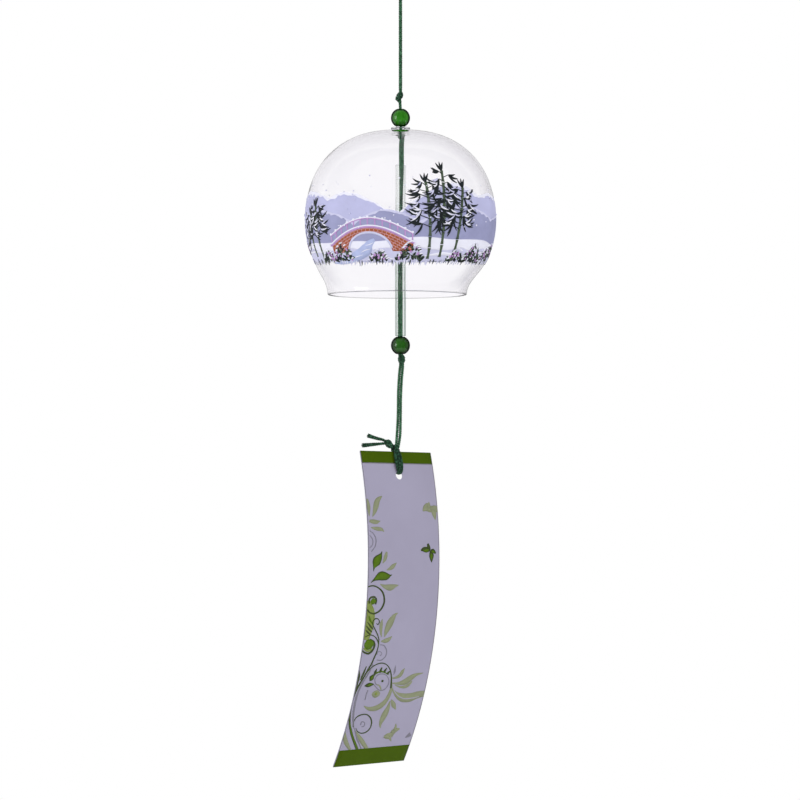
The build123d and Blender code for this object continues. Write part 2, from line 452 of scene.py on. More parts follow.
def strand_piece(name, route, turn, *nodes, body=None, blend=None, look=CORD, far_end=None):
    """A strand along a route, on one body, or else left where it lies with its transform baked."""
    line = line_of(route)
    bm = bmesh.new()
    add_braid(bm, line, turn)
    piece = finished(name, bm, look)
    if body:
        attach(piece, body)
    else:
        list(blend[:2])
        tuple(blend[2])
        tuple(blend[3])
        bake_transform(piece)
    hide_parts(*nodes)
    if far_end:
        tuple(line[0])
        run_lengths(line)[-1]


fold_side = [
    (0.05, 0.35, -65), (0.14, 0.55, -63), (0.16, 0.55, -56.5), (0.14, 0.55, -20),
    (0, 0.75, -14), (0, 3.425, -6.2), (0, 3.425, 0.525),
]
strand_piece(
    "cord_fold", fold_side + [(-x, -y, z) for x, y, z in reversed(fold_side)], 0,
    "hanging_loop", "hanging_cord", blend=("loop", "upper_cord", (0, 0, -0.0155), (0, 0, -0.025)),
    far_end="object",
)

for name, y, turn in (("front", -0.55, 0), ("rear", 0.55, 1)):
    strand_piece(
        f"neck_strand_{name}",
        [
            (-0.35, 0.6 * y, -66.6), (-0.1, y, -68.6), (0.1, y, UPPER_BEAD), (0.15, y, -78),
            (0.25, 0.75 * y, -80.4),
        ],
        turn, "neck_cord", body="neck",
    )

# Inside the tube these two lie one behind the other, and the cord looks narrower.
for name, x, turn in (("left", -0.5, 0), ("right", 0.5, 1.3)):
    strand_piece(
        f"clapper_strand_{name}",
        [
            (0.45 + 0.8 * x, 0, -81.95), (0.65 + x, 0, -82.9), (0.38 + x, 0, -84.2),
            (0.38 + x, 0, -93), (0.32 + 0.8 * x, 0.6 * x, -99),
            (0.22 + 0.35 * x, 0.9 * x, -106), (0.1 + 0.3 * x, 0.9 * x, -122),
            (-0.05 + 0.9 * x, 0.4 * x, -136), (-0.1 + x, 0, -160),
            (-0.12 + 0.95 * x, 0, LOWER_BEAD), (0.1 + 0.8 * x, 0, -174.5),
        ],
        turn, "clapper_cord", body="clapper", far_end="knot",
    )

strip_strands = {
    "left": [
        (0.1, 0, -176.5), (0, 0, -177.8), (-0.35, -0.02, -180), (-0.7, -0.08, -184.5),
        (-0.96, -0.12, -190), (-0.98, -0.18, -196.5), (-1.14, -0.25, -202),
        (-1.54, -0.33, -208), (-1.9, -0.4, -212.8),
    ],
    "right": [
        (0.8, 0, -176.5), (1.05, 0, -177.8), (0.8, -0.02, -180.5), (0.44, -0.08, -184.5),
        (0.16, -0.12, -190), (0.05, -0.18, -196.7), (0, -0.25, -204),
        (-0.24, -0.33, -208.8), (-1, -0.4, -212.6),
    ],
}
for turn, (name, route) in enumerate(strip_strands.items()):
    strand_piece(
        f"strip_strand_{name}", route, turn + 0.4, "strip_cord",
        blend=("strip_line", "strip", (0, 0, -0.180), (-0.00172, -0.0004, -0.2124)), far_end="knot",
    )

# The tie at the strip has its own axes: out of the paper, up along it and aside to its left.
TIE_ORIGIN = Vector((-1.31601, -1.33458, -219.095))
TIE_OUT = Vector((0.595896, -0.751475, 0.283186))
TIE_UP = Vector((-0.143094, 0.247630, 0.958230))
TIE_ASIDE = Vector((-0.79021, -0.611527, 0.04003))
TIE_KNOT = Vector((-4.88239, -2.22694, -210.868))
TIE_KNOT_ALONG = Vector((-0.776648, -0.449579, 0.441245))

tie_strands = {
    "left": [
        (0.9, 7.6, 0.3), (1, 5.4, 1.05), (1.05, 1.6, 1.4), (1, -2.2, 1.05), (0.9, -4.15, 0.6),
        (-0.9, -4.15, 0.6), (-0.9, 2, 0.55), (-0.85, 6.2, 0.95), (-0.35, 7.5, 1.4),
        (0.7, 7.4, 2.3),
    ],
    "right": [
        (0.9, 7.6, -0.2), (1, 4.6, -1.15), (1.05, 0.6, -1.6), (1.05, -2.4, -1.35),
        (0.9, -4.15, -0.6), (-0.9, -4.15, -0.6), (-0.9, 2, -0.55), (-0.85, 6.2, -0.15),
        (-0.35, 7.7, 0.7), (0.7, 7.9, 1.9),
    ],
    "middle": [
        (1.5, 7.2, 1.7), (1.7, 6.6, 0.4), (1.25, 4.2, 0.1), (1.2, 0, -0.05), (1, -4.3, 0),
        (-0.6, -4.35, 0), (-0.9, -3, 0),
    ],
}
for turn, (name, places) in enumerate(tie_strands.items()):
    route = [
        TIE_ORIGIN + TIE_OUT * out + TIE_UP * up + TIE_ASIDE * aside for out, up, aside in places
    ]
    if name != "middle":
        route.append(TIE_KNOT - TIE_KNOT_ALONG * 0.6)
    # The tie's loops take the darker cord, which is painted shade.
    strand_piece(
        f"tie_loop_{name}", route, turn + 0.3, "strip_loop", body="strip", look=SHADED_CORD
    )


def knot_piece(name, node, body, centre, along, width, height, phase, top, foot):
    """A pulled-tight overhand knot of the doubled cord: rounded wraps from its top to its foot."""
    turns, lean = 2.2, 0.45
    centre, along = Vector(centre), Vector(along).normalized()
    side = (Vector((0, -1, 0)) - along * -along.y).normalized()
    other = along.cross(side)
    bm = bmesh.new()
    for share in (-0.5, 0.5):
        route = [Vector(top) + other * share * 0.6]
        steps = round(turns * 8)
        for i in range(steps + 1):
            # Down from near the top to near the foot, one strand ahead of the other
            slope = radians(22 + 136 * (i / steps) - 26 * share)
            angle = radians(phase) + 2 * pi * turns * i / steps
            reach = (width / 2 - STRAND) * sin(slope) * 1.06
            rise = (height / 2 - STRAND) * cos(slope) * 0.98 + lean * reach * sin(angle)
            route.append(centre + spoke(side, other, angle) * reach + along * rise)
        route.append(Vector(foot) + other * share * 0.6)
        add_braid(bm, line_of(route), share)
    core = [cos(pi * (i + 0.5) / 12) for i in range(12)]
    add_tube(
        bm, [(centre + along * (height / 2 - 0.35) * level) * MM for level in core],
        [(width / 2 - 0.4) * sqrt(1 - level * level) * MM for level in core], 14,
    )
    # The knot's wraps take the darker cord, which is painted shade.
    put_on(finished(name, bm, SHADED_CORD), body, "cord", node)


knot_piece(
    "top_knot_wraps", "top_knot", "upper_cord", (-0.5, 0, TOP_KNOT), (0.34, 0, 0.94),
    3.15, 4.9, 100, (0.05, 0, -63.4), (-0.15, 0, -67.7),
)
knot_piece(
    "globe_knot_wraps", "globe_knot", "inner_knot", (0.45, 0, GLOBE_KNOT + 0.1), (-0.3, 0, 0.95),
    4, 3.6, -60, (0.2, 0, -79.4), (0.9, 0, -82.6),
)
knot_piece(
    "lower_knot_wraps", "lower_knot", "end_knot", (0.45, 0, LOWER_KNOT), (-0.42, 0, 0.9),
    3.7, 4.3, 60, (-0.3, 0, -173.5), (0.6, 0, -177.2),
)
knot_piece(
    "tie_knot_wraps", "tie_knot", "strip", TIE_KNOT, TIE_KNOT_ALONG,
    3.6, 4.2, 40, TIE_KNOT - TIE_KNOT_ALONG * 2, TIE_KNOT + TIE_KNOT_ALONG * 2,
)


def tail_piece(name, start, places, seed):
    """A free end of the cord, thicker towards its tip, where its fibres open."""
    rng = random.Random(seed)
    line = line_of([TIE_KNOT + TIE_KNOT_ALONG * start, *places])
    bm = bmesh.new()
    add_braid(bm, line, pitch=3, swell=lambda t: 1 + 0.5 * max(0, t - 0.3) / 0.7)
    tip = line[-1]
    along = (line[-1] - line[-6]).normalized()
    side = along.orthogonal().normalized()
    other = along.cross(side)
    for _ in range(60):
        away = spoke(side, other, rng.uniform(0, 2 * pi))
        reach = 0.72 * MM * sqrt(rng.random())
        root = tip - along * 0.4 * MM + away * reach
        long = rng.uniform(0.6, 1.05) * MM
        out = away * reach * rng.uniform(0.1, 0.5)
        fibre = [root + along * long * t + out * t * t for t in (0, 0.35, 0.7, 1)]
        add_tube(bm, fibre, [thick * MM for thick in (0.09, 0.085, 0.075, 0.05)], 5)
    # The tail takes the darker cord, which is painted shade, as on the knots.
    put_on(finished(name, bm, SHADED_CORD), "strip", "cord", "cord_tails")


tail_piece(
    "upper_tail", 1,
    [(-6.561, -3.653, -209.178), (-10.176, -6.132, -208.503), (-13.1, -8.1, -207.4)], 3,
)
tail_piece(
    "lower_tail", 0.8,
    [(-7.164, -2.973, -210.696), (-11.649, -6.52, -211.023), (-15.4, -9.7, -211.3)], 4,
)


# ---- Glass bell

WALL = 0.9
# The arcs of its outline: centre and radius
CROWN = ((0, -193.397), 113.2141)
SHOULDER = ((7.1615, -112.499), 32)
SIDE = ((-5.5, EQUATOR), 45.5)
BELLY = ((0, EQUATOR), BELL_RADIUS)
CROWN_REACH = 9.98328
SHOULDER_FOOT = -101.397
SEAT_RADIUS = 2.2
RIM = 0.45


def crown_angle(reach, inset=0):
    """Where the crown's arc is a reach away from the axis."""
    return degrees(acos(reach / (CROWN[1] - inset)))


def dome(inset, crown_start, crown_steps, belly_end):
    """The arcs from the crown down to the neck, on the outside or set in by the wall."""
    places = []
    for (centre, radius), first, last, count in (
        (CROWN, crown_start, crown_angle(CROWN_REACH), crown_steps), (SHOULDER, 84, 20.3, 64),
        (SIDE, 19.4, 0, 26), (BELLY, -1, belly_end, 40),
    ):
        places += arc(centre, radius - inset, first, last, count)
    return places


def bell_profile():
    """The bell's outline, outside from the hole to the rim and back inside to the hole."""
    outline = [(1.55, COLLAR_TOP - 0.04), (1.8, COLLAR_TOP), (2.4, COLLAR_TOP), (3.1, COLLAR_TOP)]
    outline += arc((3.7, COLLAR_TOP - 0.35), 0.35, 90, -90, 9)
    outline += [
        (3.52, -79.36), (3.36, -79.62), (3.31, -79.85), (3.38, -80.03), (3.6, -80.16),
        (3.95, -80.235),
    ]
    outline += dome(0, crown_angle(4.4), 10, -36)
    outline += bend((32.154, -140.976), (29.53, -144.5), (29.25, -147.3), 16)[1:]
    outline += [(29.16, MOUTH + 0.6)]
    outline += arc((28.7, MOUTH + RIM), RIM, 10, -85, 8)
    rim_start = len(outline) - 7
    outline += arc((28.65, MOUTH + RIM), RIM, -95, -190, 8)
    rim_end = len(outline) - 3
    outline += [(28.26, MOUTH + 0.7)]
    outline += bend((28.35, -147.3), (28.66, -144.3), (31.43, -140.44), 16)
    outline += reversed(dome(WALL, crown_angle(2.6, WALL), 12, -35.8))
    outline += [
        (SEAT_RADIUS * cos(radians(a)), GLOBE_KNOT + SEAT_RADIUS * sin(radians(a)))
        for a in (0, 8, 16, 24, 32, 40, 47)
    ]
    outline += [(1.42, -79.3), (1.4, -79), (1.4, COLLAR_TOP - 0.15)]
    return outline, rim_start, rim_end


def mouth_lean(height):
    """The blown neck stands a little to the left of the crown, as in the photograph."""
    share = max(0, min(1, (-132 - height) / 16))
    return -1.4 * (share * share * (3 - 2 * share))


profile, rim_start, rim_end = bell_profile()


def bell_ripple(point, i):
    """Hand-blown glass: the wall wanders a little, more inside than outside."""
    if point.z > -82.5:
        return 0.012 * noise.noise(point * 0.9)
    amount, shift = (0.035, 0) if i <= rim_end else (0.075, 40)
    fade = min(1, (point.z - MOUTH) / 6)
    broad = noise.noise(Vector((point.x / 13 + shift, point.y / 13, point.z / 17)))
    return amount * broad * (0.35 + 0.65 * fade)


bm = bmesh.new()
add_revolved(bm, profile, 256, bell_ripple, lambda i: rim_start <= i < rim_end)
for vert in bm.verts:
    vert.co.x += mouth_lean(vert.co.z / MM) * MM
put_on(finished("blown_bell", bm, GLASS, RIM_GLASS), "globe", "clear_glass", "glass_globe")


# ---- Clapper tube and beads

def tube_profile():
    """The tube's outline down its outside and up its bore, and where the bore starts."""
    radius, bore, edge = 2.25, 1.65, 0.25
    top, bottom = TUBE_TOP - edge, TUBE_BOTTOM + edge
    heights = [top + (bottom - top) * i / 60 for i in range(1, 60)]
    outside = arc((radius - edge, top), edge, 90, 0, 5) + [(radius, height) for height in heights]
    outside += arc((radius - edge, bottom), edge, 0, -90, 5)
    inside = arc((bore + edge, bottom), edge, -90, -180, 5)
    inside += [(bore, height) for height in reversed(heights)]
    inside += arc((bore + edge, top), edge, 180, 90, 5)
    return outside + inside, len(outside)


bm = bmesh.new()
outline, bore_start = tube_profile()
add_revolved(
    bm, outline, 64, lambda point, i: 0.018 * noise.noise(point * 0.16), lambda i: i >= bore_start
)
tube = finished("drawn_tube", bm, TUBE_GLASS, TUBE_BORE_GLASS)
put_on(tube, "tube", "clear_glass", "clapper_tube")


def bead_piece(name, node, body, height, look, shift):
    radius, bore, edge = 4, 1.3, 0.3
    top = 90 - degrees(asin((bore + edge) / radius)) - 1.5
    rise = sqrt((radius - edge) ** 2 - (bore + edge) ** 2)
    outline = arc((0, height), radius, top, -top, 56)
    outline += arc((bore + edge, height - rise), edge, -70, -180, 6)
    bore_start = len(outline) - 1
    outline += [(bore, height - rise + 2 * rise * i / 12) for i in range(1, 12)]
    outline += arc((bore + edge, height + rise), edge, 180, 70, 6)
    bm = bmesh.new()
    add_revolved(
        bm, outline, 96,
        lambda point, i: 0.03 * noise.noise(point * 0.28 + Vector((shift, 0, 0))),
        lambda i: bore_start <= i < bore_start + 12,
    )
    put_on(finished(name, bm, look, BEAD_BORE), body, "bead_glass", node)


bead_piece("upper_glass_bead", "upper_bead", "top_bead", UPPER_BEAD, UPPER_GREEN, 7)
bead_piece("lower_glass_bead", "lower_bead", "bottom_bead", LOWER_BEAD, LOWER_GREEN, 14)


# ---- Printed layers: thin closed films that follow a surface

class Film:
    """Films of ink, drawn flat in millimetres and then laid on a surface."""

    def __init__(self, gap, step, back=None):
        self.bm, self.gap, self.step, self.back = bmesh.new(), gap, step, back

    def grid(self, rows, level, ink):
        """A film over rows of places, with the films' own ink on its back if they have one."""
        bm = self.bm
        top = self.gap + self.step * (level + 1)
        tops = [[bm.verts.new((u, v, top)) for u, v in row] for row in rows]
        feet = [[bm.verts.new((u, v, self.gap)) for u, v in row] for row in rows]
        back = ink if self.back is None else self.back
        last = len(rows[0]) - 1

        def face(index, *corners):
            bm.faces.new(corners).material_index = index

        for i in range(len(rows) - 1):
            a, b, c, d = tops[i], tops[i + 1], feet[i], feet[i + 1]
            for j in range(last):
                face(ink, a[j], b[j], b[j + 1], a[j + 1])
                face(back, c[j], c[j + 1], d[j + 1], d[j])
            face(ink, a[0], c[0], d[0], b[0])
            face(ink, a[last], b[last], d[last], c[last])
        for j in range(last):
            face(ink, tops[0][j], tops[0][j + 1], feet[0][j + 1], feet[0][j])
            face(ink, tops[-1][j], feet[-1][j], feet[-1][j + 1], tops[-1][j + 1])

    def ribbon(self, line, level, ink):
        """A band along places that each have a width."""
        rows = []
        for i, (u, v, width) in enumerate(line):
            before, after = line[max(i - 1, 0)], line[min(i + 1, len(line) - 1)]
            du, dv = after[0] - before[0], after[1] - before[1]
            half = width / 2 / (hypot(du, dv) or 1)
            rows.append([(u - dv * half, v + du * half), (u, v), (u + dv * half, v - du * half)])
        self.grid(rows, level, ink)

    def flow(self, points, level, ink, step=0.5):
        """A smooth band through places that each have a width."""
        line = []
        last = len(points) - 1
        for i in range(last):
            around = [points[max(0, min(last, i + k))] for k in (-1, 0, 1, 2)]
            steps = max(2, int(dist(around[1][:2], around[2][:2]) / step))
            for k in range(steps + (i == last - 1)):
                t = k / steps
                line.append(tuple(
                    0.5 * (2 * q + (r - p) * t + (2 * p - 5 * q + 4 * r - s) * t * t
                           + (3 * q - p - 3 * r + s) * t ** 3)
                    for p, q, r, s in zip(*around)
                ))
        self.ribbon([(u, v, max(width, 0.08)) for u, v, width in line], level, ink)

    def dot(self, u, v, radius, level, ink):
        turns = [pi * (0.04 + 0.92 * i / 9) for i in range(10)]
        self.ribbon([(u - radius * cos(a), v, 2 * radius * sin(a)) for a in turns], level, ink)

    def leaf(self, base, tip, width, level, ink, arch, belly, steps=12):
        """A pointed leaf from its base to its tip, arched to one side, widest at its belly."""
        du, dv = tip[0] - base[0], tip[1] - base[1]
        power = log(0.5) / log(belly)
        line = []
        for i in range(steps + 1):
            t = i / steps
            rise = arch * sin(pi * t)
            wide = 0.06 + width * sin(pi * t ** power) ** 0.85
            line.append((base[0] + du * t - dv * rise, base[1] + dv * t + du * rise, wide))
        self.ribbon(line, level, ink)

    def cut(self, place, side):
        """Cuts off what lies beyond a straight edge and closes the cut."""
        bm = self.bm
        bmesh.ops.bisect_plane(
            bm, geom=bm.verts[:] + bm.edges[:] + bm.faces[:], plane_co=place, plane_no=side,
            clear_outer=True, dist=1e-6,
        )
        bmesh.ops.holes_fill(bm, edges=[edge for edge in bm.edges if edge.is_boundary], sides=0)

    def laid(self, surface):
        for vert in self.bm.verts:
            vert.co = surface(*vert.co)
        return self.bm


def inks(*rows):
    return [ink_look(name, colour(*tone), *rest) for name, tone, *rest in rows]


# ---- The strip and its print

STRIP_TOP = Vector((-2.1, 0, -214.1829))
STRIP_FRONT = Vector((0.610744, -0.791224, -0.030939)).normalized()
STRIP_ACROSS = Vector((0.79021, 0.611527, -0.04003)).normalized()
STRIP_UP = (-STRIP_ACROSS).cross(STRIP_FRONT)
BEND = 167.5
LEAN = radians(20)
HALF_PAPER = 0.15


def on_strip(across, down, out):
    """A point over the strip's front: across to its right, down from its top edge and out."""
    angle = LEAN - down / BEND
    reach = BEND + HALF_PAPER + out
    x = reach * cos(angle) - BEND * cos(LEAN)
    y = reach * sin(angle) - BEND * sin(LEAN)
    return (STRIP_TOP + STRIP_FRONT * x + STRIP_UP * y + STRIP_ACROSS * across) * MM


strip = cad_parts["paper_strip"]
strip.data.materials.clear()
base = colour(156, 152, 174)
strip.data.materials.append(dull_look(
    "strip_paper", (38, 3), ((0.3, shade(base, 0.96)), (0.7, shade(base, 1.03))),
    (0.14, 0.00006, 1900, 4, 0.65), Roughness=0.62, Specular_IOR_Level=0.25,
))

BAND, DARK, PALE, LINE, TINT, FAINT, PAPER, EDGE = range(8)
strip_inks = inks(
    ("band_green", (64, 86, 6), 160, 0.06, 0.04),
    ("leaf_green", (80, 108, 22), 500, 0.16),
    ("leaf_pale", (134, 139, 112), 600, 0.06),
    ("stem_green", (62, 74, 40), 500, 0.12),
    ("fill_green", (124, 138, 72), 500, 0.12),
    ("line_faint", (122, 120, 132), 500, 0.06),
    ("line_paper", (157, 153, 172), 500, 0.04),
    # Grey for the line under the upper band, and painted shade on the card's cut edges.
    ("cut_edge", (116, 114, 120), 900, 0.1),
)
# Scrolling leaves, curls and butterflies. Each stroke has its ink and its layer, and then, place
# after place in tenths of a millimetre, how far right it is, how far down and how wide.
MIDDLE = 189  # of the strip, in these tenths
STRIP_STROKES = (
    (PALE, 0, 30, 278, 3, 43, 254, 19, 53, 229, 27, 63, 209, 23, 87, 192, 4),
    (PALE, 0, 7, 204, 11, 13, 237, 18, 13, 275, 4),
    (PALE, 0, 12, 295, 10, 35, 298, 19, 53, 299, 15, 69, 295, 2),
    (PALE, 0, 20, 322, 3, 41, 326, 14, 61, 328, 17, 76, 331, 12, 86, 340, 2),
    (FAINT, 0, 12, 335, 4, 32, 349, 4, 43, 373, 5, 37, 399, 5, 18, 420, 4),
    (FAINT, 0, 11, 353, 3, 23, 367, 4, 27, 380, 4, 21, 396, 4, 10, 404, 3),
    (LINE, 1, 30, 501, 3, 32, 486, 10, 44, 462, 42, 60, 443, 29, 68, 431, 11, 72, 420, 3),
    (DARK, 2, 32, 489, 3, 44, 463, 32, 60, 444, 21, 67, 432, 4),
    (PALE, 0, 76, 469, 2, 86, 455, 15, 92, 439, 17, 97, 422, 8),
    (PALE, 0, 97, 497, 3, 115, 491, 14, 131, 481, 18, 148, 468, 3),
    (LINE, 1, 18, 547, 2, 36, 535, 12, 67, 521, 37, 99, 523, 30, 116, 520, 9, 126, 516, 2),
    (DARK, 2, 35, 535, 4, 67, 521, 29, 98, 523, 22, 115, 520, 3),
    (PALE, 0, 66, 554, 3, 89, 564, 16, 118, 569, 27, 144, 563, 14, 162, 560, 2),
    (LINE, 1, 4, 564, 5, 30, 560, 6, 59, 570, 6, 81, 589, 8, 91, 616, 9, 88, 641, 9, 71, 664, 8, 44,
     675, 7, 20, 669, 7, 7, 657, 7),
    (TINT, 0, 6, 622, 22, 15, 647, 35, 26, 672, 41, 27, 701, 45, 24, 730, 44, 20, 759, 37, 15, 784,
     26),
    (LINE, 1, 16, 633, 8, 13, 618, 9, 23, 607, 8, 43, 608, 8, 51, 622, 8, 47, 637, 7),
    (DARK, 2, 21, 623, 4, 30, 624, 27, 42, 625, 20, 47, 626, 4),
    (LINE, 2, 48, 741, 3, 32, 728, 8, 14, 709, 3),
    (LINE, 2, 42, 752, 3, 27, 741, 8, 10, 725, 3),
    (LINE, 2, 35, 761, 3, 22, 753, 8, 9, 742, 3),
    (DARK, 1, 42, 721, 3, 25, 699, 10, 17, 682, 3),
    (LINE, 2, 82, 782, 5, 71, 761, 5, 55, 739, 5, 43, 721, 5, 42, 706, 5, 53, 696, 5, 69, 699, 4,
     75, 711, 5, 69, 721, 5, 60, 716, 3),
    (LINE, 2, 11, 770, 4, 33, 763, 4, 55, 769, 4, 74, 785, 5, 84, 804, 5),
    (LINE, 1, 36, 781, 5, 57, 792, 7, 64, 810, 10, 56, 830, 10, 38, 842, 9, 16, 836, 7, 4, 828, 7),
    (TINT, 2, 10, 818, 7, 21, 827, 8, 38, 831, 9, 52, 822, 7),
    (DARK, 3, 10, 804, 9, 20, 804, 38, 36, 803, 44, 49, 803, 33, 58, 803, 9),
    (PALE, 0, 95, 774, 3, 87, 746, 14, 86, 720, 17, 89, 699, 3),
    (PALE, 0, 109, 775, 3, 117, 748, 24, 130, 718, 34, 144, 695, 24, 156, 681, 11, 169, 676, 2),
    (PALE, 0, 94, 792, 3, 113, 791, 17, 131, 787, 19, 149, 773, 3),
    (FAINT, 0, 93, 807, 3, 113, 811, 4, 130, 833, 5, 129, 857, 5, 110, 873, 5, 86, 871, 3),
    (FAINT, 0, 83, 850, 4, 86, 837, 4, 101, 837, 3, 108, 848, 4, 99, 854, 3),
    (FAINT, 1, 69, 888, 5, 60, 918, 7, 38, 959, 8, 22, 1002, 9, 17, 1046, 10, 20, 1091, 10, 29,
     1135, 8, 45, 1174, 4),
    (LINE, 2, 82, 782, 5, 84, 808, 5, 80, 835, 6, 71, 862, 7, 62, 887, 7, 49, 912, 8, 37, 938, 8,
     24, 964, 8, 12, 990, 9, 4, 1018, 9, 0, 1047, 9, 1, 1083, 10, 7, 1120, 10, 17, 1153, 10, 33,
     1185, 11, 52, 1217, 11, 74, 1248, 12, 98, 1281, 13),
    (DARK, 3, 15, 1143, 3, 33, 1184, 5, 53, 1217, 6, 75, 1248, 6, 97, 1277, 7),
    (LINE, 1, 46, 924, 4, 61, 907, 5, 83, 893, 5, 112, 886, 5, 140, 893, 4, 163, 914, 5, 176, 941,
     6, 183, 968, 8, 188, 1000, 9),
    (PALE, 0, 189, 982, 6, 190, 1013, 16, 181, 1047, 21, 161, 1073, 27, 132, 1087, 26, 96, 1087, 16,
     67, 1073, 3),
    (LINE, 2, 87, 939, 3, 89, 926, 14, 94, 909, 3),
    (LINE, 2, 114, 929, 3, 116, 918, 13, 120, 904, 3),
    (LINE, 2, 135, 929, 3, 139, 920, 12, 147, 908, 3),
    (LINE, 2, 151, 936, 3, 158, 930, 12, 168, 922, 3),
    (DARK, 1, 79, 954, 6, 89, 934, 8, 110, 924, 7, 136, 926, 6, 162, 939, 4),
    (LINE, 2, 69, 962, 3, 76, 948, 26, 83, 934, 4),
    (DARK, 3, 73, 957, 3, 77, 947, 13, 81, 938, 3),
    (LINE, 2, 47, 982, 3, 68, 979, 20, 95, 977, 3),
    (DARK, 3, 62, 980, 2, 73, 978, 12, 85, 977, 2),
    (FAINT, 1, 109, 982, 4, 95, 961, 4, 101, 940, 4, 125, 933, 4, 152, 942, 3, 170, 965, 4, 169,
     986, 5, 156, 1003, 5, 134, 1007, 4, 113, 995, 4, 96, 980, 3),
    (PALE, 1, 109, 979, 3, 127, 987, 7, 141, 1009, 5),
    (LINE, 2, 130, 965, 8, 136, 965, 11, 141, 965, 7),
    (PALE, 0, 95, 1018, 8, 103, 1020, 25, 117, 1022, 35, 130, 1023, 23, 137, 1024, 7),
    (TINT, 1, 109, 1021, 5, 116, 1021, 16, 123, 1022, 5),
    (FAINT, 1, 69, 1002, 6, 65, 1024, 6, 65, 1046, 4),
    (FAINT, 0, 189, 940, 3, 191, 922, 10, 190, 900, 2),
    (PALE, 0, 181, 955, 4, 205, 953, 11, 225, 943, 19, 233, 927, 16, 241, 915, 3),
    (PALE, 0, 189, 977, 4, 224, 980, 13, 258, 974, 29, 286, 958, 26, 310, 946, 14, 346, 940, 3),
    (PALE, 0, 206, 986, 3, 242, 998, 10, 273, 994, 16, 295, 974, 6),
    (PALE, 0, 189, 991, 6, 215, 1022, 15, 254, 1044, 36, 298, 1049, 41, 339, 1039, 34, 375, 1035,
     27),
    (PAPER, 1, 196, 996, 3, 229, 1032, 4, 269, 1051, 5, 315, 1052, 5, 351, 1047, 3),
    (PALE, 0, 203, 1052, 4, 223, 1077, 22, 241, 1100, 3),
    (PALE, 0, 199, 1059, 6, 197, 1086, 19, 190, 1114, 32, 182, 1144, 27, 180, 1165, 14, 186, 1184,
     3),
    (LINE, 1, 39, 1168, 4, 34, 1143, 5, 44, 1122, 6, 64, 1113, 6, 91, 1113, 5, 116, 1129, 6, 130,
     1153, 7, 131, 1179, 7, 116, 1197, 7, 92, 1201, 5, 68, 1190, 4, 55, 1174, 3),
    (FAINT, 1, 75, 1160, 5, 77, 1146, 5, 94, 1152, 4, 95, 1168, 5, 83, 1169, 3),
    (PALE, 0, -1, 1175, 4, 8, 1209, 18, 29, 1244, 19, 61, 1279, 10),
    (PALE, 0, 53, 1184, 3, 79, 1211, 13, 108, 1241, 20, 154, 1287, 15),
    (FAINT, 1, 48, 1174, 4, 76, 1224, 6, 121, 1282, 5),
    (LINE, 1, 20, 955, 6, 29, 927, 10, 38, 896, 3),
    (LINE, 1, 8, 968, 5, 10, 940, 9, 5, 912, 3),
    (LINE, 1, 5, 994, 5, 8, 965, 7, 2, 941, 3),
    (PALE, 0, 296, 253, 5, 308, 243, 25, 325, 234, 32, 339, 231, 17),
    (PALE, 0, 328, 240, 16, 331, 225, 14, 332, 214, 4),
    (PALE, 0, 337, 243, 17, 354, 241, 24, 369, 244, 26, 379, 252, 20),
    (PALE, 0, 349, 244, 16, 356, 265, 24, 360, 289, 5),
    (PALE, 0, 315, 242, 22, 331, 243, 29, 352, 247, 26),
    (LINE, 1, 277, 418, 4, 290, 414, 19, 308, 415, 24, 325, 414, 13),
    (DARK, 2, 291, 418, 3, 305, 419, 13, 319, 415, 4),
    (LINE, 1, 320, 420, 14, 319, 406, 18, 314, 390, 9),
    (LINE, 1, 330, 422, 13, 342, 420, 19, 356, 431, 6),
    (DARK, 2, 334, 422, 4, 342, 423, 11, 349, 428, 3),
    (LINE, 1, 331, 419, 14, 333, 439, 25, 333, 458, 13, 334, 468, 3),
    (DARK, 2, 332, 431, 4, 333, 443, 14, 333, 456, 3),
    (PALE, 0, 218, 1228, 8, 233, 1226, 28, 252, 1225, 29, 263, 1217, 19),
    (PALE, 0, 257, 1215, 25, 267, 1202, 27, 292, 1195, 6),
    (PALE, 0, 263, 1202, 16, 267, 1185, 13, 262, 1168, 3),
    (PALE, 0, 247, 1232, 13, 260, 1245, 9, 267, 1254, 3),
    (FAINT, 0, 338, 1241, 4, 349, 1234, 17, 361, 1225, 22),
)
film = Film(0.006, 0.013)
for ink, level, *tenths in STRIP_STROKES:
    places = zip(tenths[::3], tenths[1::3], tenths[2::3])
    film.flow([((a - MIDDLE) / 10, b / 10, width / 10) for a, b, width in places], level, ink, 0.6)
for top, bottom in ((-0.2, 5), (127.9, 136.6)):
    rows = [
        [(-18.9 + 37.8 * k / 12, top + (bottom - top) * i / 12) for k in range(13)]
        for i in range(13)
    ]
    film.grid(rows, 3, BAND)
film.ribbon([(-18.6 + 37.2 * i / 20, 5.15, 0.5) for i in range(21)], 0, EDGE)
# Painted shade along both cut edges of the card, as thin grey lines.
for across in (-18.6, 18.6):
    film.ribbon([(across, 136.4 * i / 90 - 0.1, 0.34) for i in range(91)], 4, EDGE)
for place, side in (
    ((18.66, 0, 0), (1, 0, 0)), ((-18.66, 0, 0), (-1, 0, 0)),
    ((0, 0.04, 0), (0, -1, 0)), ((0, 136.16, 0), (0, 1, 0)),
):
    film.cut(place, side)
put_on(finished("strip_print", film.laid(on_strip), *strip_inks), "strip", "paper")


# ---- The bell's print: hills, a footbridge and bamboo under snow

ROUND = 2 * pi * BELL_RADIUS
HALF = ROUND / 2
PRINT_MIDDLE = EQUATOR - 2.4


